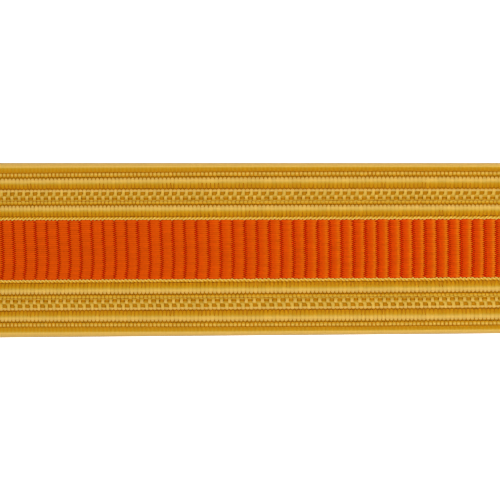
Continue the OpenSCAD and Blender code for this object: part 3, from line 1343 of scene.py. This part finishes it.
@dataclass(frozen=True)
class SilkFloat:
    """A fine warp thread where it floats over one rib of the stripe. Its length is that of the rib."""

    # The height of its own zero above the braid's back, and its crest above that
    seat: float = 1.15
    crest: float = 0.15
    relief: float = 0.07
    dive: float = 0.14
    dive_from: tuple[float, float] = (0.96, 1.1)
    depth: float = 0.12
    crown: float = 0.006
    tip_crown: float = 0.07
    # How much painted shade darkens the sides of a narrow tip
    painted_tip_shade: float = 0.9
    # How far a ring lies from the float's nearer end, its half-width and its tone, low at the end for the
    # painted shade of the groove
    tip: tuple[Triple, ...] = (
        (-0.05, 0.014, 0.2), (-0.02, 0.034, 0.6), (0.06, 0.064, 0.68), (0.17, 0.107, 0.64),
        (0.24, 0.121, 0.62), (0.36, 0.121, 0.62), (0.5, 0.121, 0.62),
    )
    # The painted glint: how much a place along the float gains in tone, a painted highlight towards its right
    # end and painted shade towards its left end
    glint: Table = (
        (-0.05, -0.6), (0.24, -0.6), (0.36, -0.4), (0.5, 0.15), (0.64, 0.9), (0.76, 1.0), (0.83, 0.8),
        (1.05, 0.8),
    )
    back: tuple[float, ...] = (-1.0, -0.6, 0.0, 0.6, 1.0)

    def loft(self) -> Loft:
        """Build the float.

        Returns:
            Its skin from 0 to 1 along X, with its middle on Y = 0.
        """
        rings = []
        ends = [*self.tip, *((1 - near, half, tone) for near, half, tone in self.tip[-2::-1])]
        for place, half, tone in ends:
            off = 2 * place - 1
            height = self.crest - self.relief * min(1.0, off * off)
            height -= self.dive * smooth(*self.dive_from, abs(off))
            narrow = 1 - half / self.tip[-1][1]
            crown = mix(self.crown, self.tip_crown, narrow)
            own = (min(1.0, max(0.0, place)), blend_table(self.glint, place))
            ring = [
                (place, share * half, height - crown * share**2,
                 tone * (1 - self.painted_tip_shade * narrow * share**2), share, *own)
                for share in self.back
            ]
            # The underside's tone of 0 paints its shadow
            rings.append([*ring, (place, 0.0, height - crown - self.depth, 0.0, 0.0, *own)])
        return Loft(rings, ("tone", "across", "along", "glint"))


@dataclass
class CentreStripe(Assembly):
    """The orange stripe: fine silk floats over ribs of filler weft."""

    layer: ThreadLayer
    silk: SilkFloat = SilkFloat()
    ribs: tuple[int, int] = (-24, 21)
    # The floats of a rib, their distance, and the place of the middle one
    floats: int = 36
    pitch: float = 0.2190
    middle_float: float = 0.09
    # How far the outermost floats lie inside the upper and the lower band, and from how far out a
    # float is still drawn in to that line
    insets: tuple[float, float] = (0.16, 0.14)
    reach: float = 0.15
    # The bow of a rib: its size at the left, the share that it loses towards the right, and its shape
    bow: float = 0.11
    bow_loss: float = 0.8
    bow_shape: Table = ((0.0, -1.1), (0.25, -0.5), (0.5, 0.22), (0.72, 0.62), (0.85, 0.3), (1.0, -0.9))
    lean: float = 0.10
    # How strongly the painted glint shows, towards the right end of the braid
    light: float = 0.3
    # Places along the braid between which the bow fades, and the lean and the painted glint grow
    bow_fades: tuple[float, float] = (-25, 20)
    lean_grows: tuple[float, float] = (-8, 22)
    painted_glint_grows: tuple[float, float] = (-22, 26)
    seeds: tuple[int, int] = (51, 52)
    spread: float = 0.03
    sway: float = 0.006
    # The core under the floats reaches this far under the border twists
    core_under: float = 0.1
    core_height: float = 1.16
    core_relief: float = 0.08
    core_samples: int = 10
    core_end: float = 0.1
    # The core's face: the share of its width and the tone, 0 for the painted shade under the floats
    core_face: Table = (
        (0.0, 0.5), (0.04, 0.4), (0.05, 0.0), (0.25, 0.0), (0.5, 0.0), (0.75, 0.0), (0.95, 0.0),
        (0.96, 0.4), (1.0, 0.5),
    )
    weft_radius: float = 0.1
    weft_heights: tuple[float, ...] = (0.65, 0.82, 0.99)
    weft_steps: int = 60
    weft_points: int = 10
    weft_relief: float = 0.06
    weft_gap: float = 0.01
    # An end weft's tone and what its sides gain, the shade of the lowest weft and what each one higher gains,
    # painted shade that darkens the lower wefts, and its fibres' two scales
    weft_tones: tuple[float, float] = (0.45, 0.25)
    weft_shades: tuple[float, float] = (0.2, 0.3)
    weft_fibres: tuple[float, float] = (3.0, 4.0)

    def sides(self, x: float, upper: float, lower: float) -> tuple[float, float]:
        """Return the Y of two lines that lie inside the upper and the lower band by so much."""
        band = self.plan.gold_band
        return self.plan.line_y(band + upper, Side.UPPER, x), self.plan.line_y(band + lower, Side.LOWER, x)

    def bow_at(self, share: float, x: float) -> float:
        """Return how far a rib bows along the braid, at a share of the stripe's width from its upper side."""
        size = self.bow * (1 - self.bow_loss * smooth(*self.bow_fades, x))
        return size * blend_table(self.bow_shape, share)

    def places(self, parity: int) -> list[Place]:
        """Work out where the floats of every second rib go.

        Args:
            parity: 0 for the even ribs and 1 for the odd ones, whose floats lie half a float over.

        Returns:
            The places of the floats' left ends.
        """
        places = []
        for rib in range(self.ribs[0] + parity, self.ribs[1] + 1, 2):
            left, right = self.plan.groove_x(rib), self.plan.groove_x(rib + 1)
            middle = (left + right) / 2
            top, bottom = self.sides(middle, *self.insets)
            lean = self.lean * smooth(*self.lean_grows, middle) * MM
            light = self.light * smooth(*self.painted_glint_grows, middle)
            for i in range(-self.floats // 2, self.floats // 2):
                y = self.middle_float + (i - parity / 2) * self.pitch
                if bottom - self.reach <= y <= top + self.reach:
                    y = min(top, max(bottom, y))
                    x = left + self.bow_at((top - y) / (top - bottom), middle)
                    stretch = (right - left, 1.0, 1.0)
                    places.append(Place(x, y, self.silk.seat, stretch=stretch, lean=lean, light=light))
        return places

    def core(self) -> Loft:
        """Build the filler wefts under the floats.

        Returns:
            One wavy sheet with cut ends.
        """
        dull = (0.0, 0.0, 0.0)
        first, last = self.ribs[0], self.ribs[1] + 1
        rings = []
        for step in range((last - first) * self.core_samples + 1):
            rib = min(last - 1, first + step // self.core_samples)
            place = step / self.core_samples - (rib - first)
            x = mix(self.plan.groove_x(rib), self.plan.groove_x(rib + 1), place)
            x = min(self.plan.end - self.core_end, max(self.core_end - self.plan.end, x))
            top, bottom = self.sides(x, -self.core_under, -self.core_under)
            height = self.core_height - self.core_relief * (2 * place - 1) ** 2
            ring = [(x + self.bow_at(share, x), mix(top, bottom, share), height, tone, *dull)
                    for share, tone in self.core_face]
            ring += [(x, mix(top, bottom, share), self.plan.seat, 0.0, *dull) for share in (1.0, 0.5, 0.0)]
            rings.append(ring)
        return Loft(rings, YARN_VALUES, strips=6)

    def end_weft(self, end: int, layer: int) -> Loft:
        """Build one of the last filler wefts, which lie along a cut end under the floats.

        Args:
            end: -1 for the left end and 1 for the right one.
            layer: Its number from the ground up.

        Returns:
            The weft's skin.
        """
        x = end * (self.plan.end - self.weft_radius - self.weft_gap)
        tone, gain = self.weft_tones
        shade, step = self.weft_shades
        along, across = self.weft_fibres
        sides = self.sides(x, -self.core_under, -self.core_under)
        rings = []
        for i in range(self.weft_steps + 1):
            share = i / self.weft_steps
            radius = self.weft_radius * (1 - self.weft_relief * (1 + math.cos(math.pi * (i + layer))))
            ring = []
            for j in range(self.weft_points):
                turn = j / self.weft_points
                out, up = math.cos(2 * math.pi * turn), math.sin(2 * math.pi * turn)
                ring.append((
                    x + radius * out, mix(*sides, share), self.weft_heights[layer] + radius * up,
                    tone + gain * abs(out), shade + step * layer, along * share, across * turn,
                ))
            rings.append(ring)
        return Loft(rings, YARN_VALUES, strips=2)

    def build(self) -> None:
        """Build the floats, the core and the end wefts."""
        node, silk = "centre_stripe", self.palette[Finish.SILK]
        for parity, kind in enumerate(("even", "odd")):
            floats = self.layer.lay(
                f"{node}_{kind}_floats", self.silk.loft(), self.places(parity), silk, self.seeds[parity],
                self.spread, self.sway)
            self.join(floats, Finish.SILK, node)
        self.dress(Loft.join(f"{node}_core", [self.core()]), Finish.SILK, node)
        ends = [self.end_weft(end, layer) for end in (-1, 1) for layer in range(len(self.weft_heights))]
        self.dress(Loft.join(f"{node}_end_wefts", ends), Finish.SILK, node)


@dataclass
class GroundWeb(Assembly):
    """The plain-woven ground between the edge cords, with its weave in relief on the back."""

    laid: list[Object]
    warp_pitch: float = 0.44
    thread_radius: float = 0.05
    wave: float = 0.045
    samples: int = 3
    edge_overlap: float = 0.03

    @property
    def width(self) -> float:
        """Return the room between the edge cords at mid-length."""
        return self.plan.mid_width - 2 * SECTIONS[Row.EDGE].room

    def thread(self, across: float, along: float, sign: int) -> float:
        """Work out how far a thread of the weave stands out.

        Args:
            across: The place across the thread, counted in threads.
            along: The place along it, counted in threads.
            sign: 1 for a weft and -1 for a warp, which lies low where the weft lies high.

        Returns:
            The height over the weave's middle.
        """
        near = round(across)
        round_back = self.thread_radius * math.sqrt(max(0.0, 1 - (2 * (across - near)) ** 2))
        return round_back + sign * self.wave * math.cos(math.pi * along) * (-1) ** near

    def height(self, weft: float, warp: float) -> float:
        """Return the height of the back at a place counted in wefts and warps."""
        relief = max(self.thread(weft, warp, 1), self.thread(warp, weft, -1))
        return self.thread_radius + self.wave - relief

    def mesh(self) -> Mesh:
        """Build the closed sheet.

        Returns:
            The mesh, with the weave below and a flat top.
        """
        across = round(self.width / self.warp_pitch) * self.samples
        along = round(self.plan.length / self.plan.weft_pitch) * self.samples
        points, faces = [], []
        for i, x in enumerate(self.plan.stations(along)):
            top, bottom = (
                self.plan.row_sides(Row.BEAD, side, x)[0] - side.value * self.edge_overlap for side in Side)
            for j in range(across + 1):
                height = self.height(i / self.samples, j / self.samples)
                points.append((x, mix(bottom, top, j / across), height))
            points += [(x, bottom, self.plan.ground), (x, top, self.plan.ground)]
        row = across + 3
        for i in range(along):
            a, b = i * row, (i + 1) * row
            faces += [[a + j, a + j + 1, b + j + 1, b + j] for j in range(across)]
            faces.append([a + across + 1, b + across + 1, b + across + 2, a + across + 2])
            faces.append([a, b, b + across + 1, a + across + 1])
            faces.append([a + across, a + across + 2, b + across + 2, b + across])
        rim = [*range(across + 1), across + 2, across + 1]
        faces += [rim[::-1], [along * row + j for j in rim]]
        mesh = new_mesh("ground_web_weave", points, faces)
        if Loft.signed_volume(np.array(points), faces) < 0:
            mesh.flip_normals()
        mesh.shade_smooth()
        mesh.validate()
        return mesh

    def build(self) -> None:
        self.dress(self.mesh(), Finish.COTTON, "ground_web")


@dataclass(frozen=True)
class Lamp:
    """A soft square light: where it hangs, what it faces and its side in mm, its watts and its angle."""

    name: str
    place: Triple
    aim: Triple
    size: float
    power: float
    spread: float = 180.0

    def hang(self) -> None:
        """Hang the light."""
        light = bpy.data.lights.new(self.name, "AREA")
        light.shape = "SQUARE"
        light.size = self.size * MM
        light.energy = self.power
        light.spread = math.radians(self.spread)
        lamp = bpy.data.objects.new(self.name, light)
        lamp.rotation_euler = (Vector(self.aim) - Vector(self.place)).to_track_quat("-Z", "Y").to_euler()
        lamp.location = Vector(self.place) * MM
        bpy.context.scene.collection.objects.link(lamp)


@dataclass(frozen=True)
class Studio:
    """A plain white floor, soft light and the camera straight above the braid."""

    view_width: float = 55.4
    view_middle: float = 0.035
    camera_height: float = 400.0
    face_height: float = 1.2
    sensor: float = 36.0
    floor_half: float = 600.0
    floor_drop: float = 0.02
    floor_colour: float = 0.8
    floor_glow: float = 0.7
    sky_light: float = 0.34
    lamps: tuple[Lamp, ...] = (
        Lamp("overhead_softbox", (0, 0, 700), (0, 0, 0), 500, 4.0),
        Lamp("side_lamp", (76, 0, 130), (22, 0, 0), 40, 0.002, 50),
    )

    def floor(self) -> None:
        """Lay the floor."""
        half, white = self.floor_half, (1, 1, 1, 1)
        corners = [(x * half, y * half, -self.floor_drop) for x, y in ((-1, -1), (1, -1), (1, 1), (-1, 1))]
        mesh = new_mesh("studio_floor", corners, [(0, 1, 2, 3)])
        mesh.materials.append(new_material("studio_white", {
            "Base Color": (*[self.floor_colour] * 3, 1), "Roughness": 0.9, "Specular IOR Level": 0.0,
            "Emission Color": white, "Emission Strength": self.floor_glow,
        })[0])
        floor = bpy.data.objects.new("studio_floor", mesh)
        bpy.context.scene.collection.objects.link(floor)

    def camera(self) -> None:
        """Set up the camera, whose view is as wide as the photo's at the height of the braid's face."""
        camera = bpy.data.cameras.new("camera")
        camera.sensor_width = self.sensor
        camera.lens = self.sensor * self.camera_height / self.view_width
        holder = bpy.data.objects.new("camera", camera)
        holder.location = (0, self.view_middle * MM, (self.camera_height + self.face_height) * MM)
        bpy.context.scene.collection.objects.link(holder)
        bpy.context.scene.camera = holder

    def build(self) -> None:
        """Build the floor, the sky, the lights and the camera."""
        self.floor()
        scene = bpy.context.scene
        scene.world = bpy.data.worlds.new("studio_sky")
        scene.world.use_nodes = True
        sky = scene.world.node_tree.nodes["Background"].inputs
        sky["Color"].default_value = (1, 1, 1, 1)
        sky["Strength"].default_value = self.sky_light
        for lamp in self.lamps:
            lamp.hang()
        self.camera()
        scene.view_settings.view_transform = "Standard"
        # Threads a pixel or two wide stay sharp
        scene.cycles.filter_width = 1.0
        scene.cycles.denoising_prefilter = "NONE"


def main() -> None:
    """Build the studio and the braid, sub-assembly by sub-assembly, and report each piece."""
    logging.basicConfig(level=logging.INFO, format="%(message)s")
    Studio().build()
    plan, layer = WeavePlan(), ThreadLayer()
    palette = {finish: look.build(finish.value) for finish, look in FINISHES.items()}
    assemblies: list[Assembly] = []
    for side in Side:
        assemblies.append(GoldBand(plan, palette, side, layer))
        assemblies.append(EdgeCord(plan, palette, side))
        assemblies.append(BorderTwist(plan, palette, side))
    # The ground comes last and shares the list, so that it knows every piece that lies on it
    pieces: list[Object] = []
    for assembly in (*assemblies, CentreStripe(plan, palette, layer), GroundWeb(plan, palette, pieces)):
        assembly.build()
        for piece in assembly.pieces:
            piece.data.calc_loop_triangles()
            LOG.info("%s: %d triangles", piece.name, len(piece.data.loop_triangles))
            pieces.append(piece)
    LOG.info("%d pieces, %d triangles", len(pieces), sum(len(piece.data.loop_triangles) for piece in pieces))


if __name__ == "__main__":
    main()
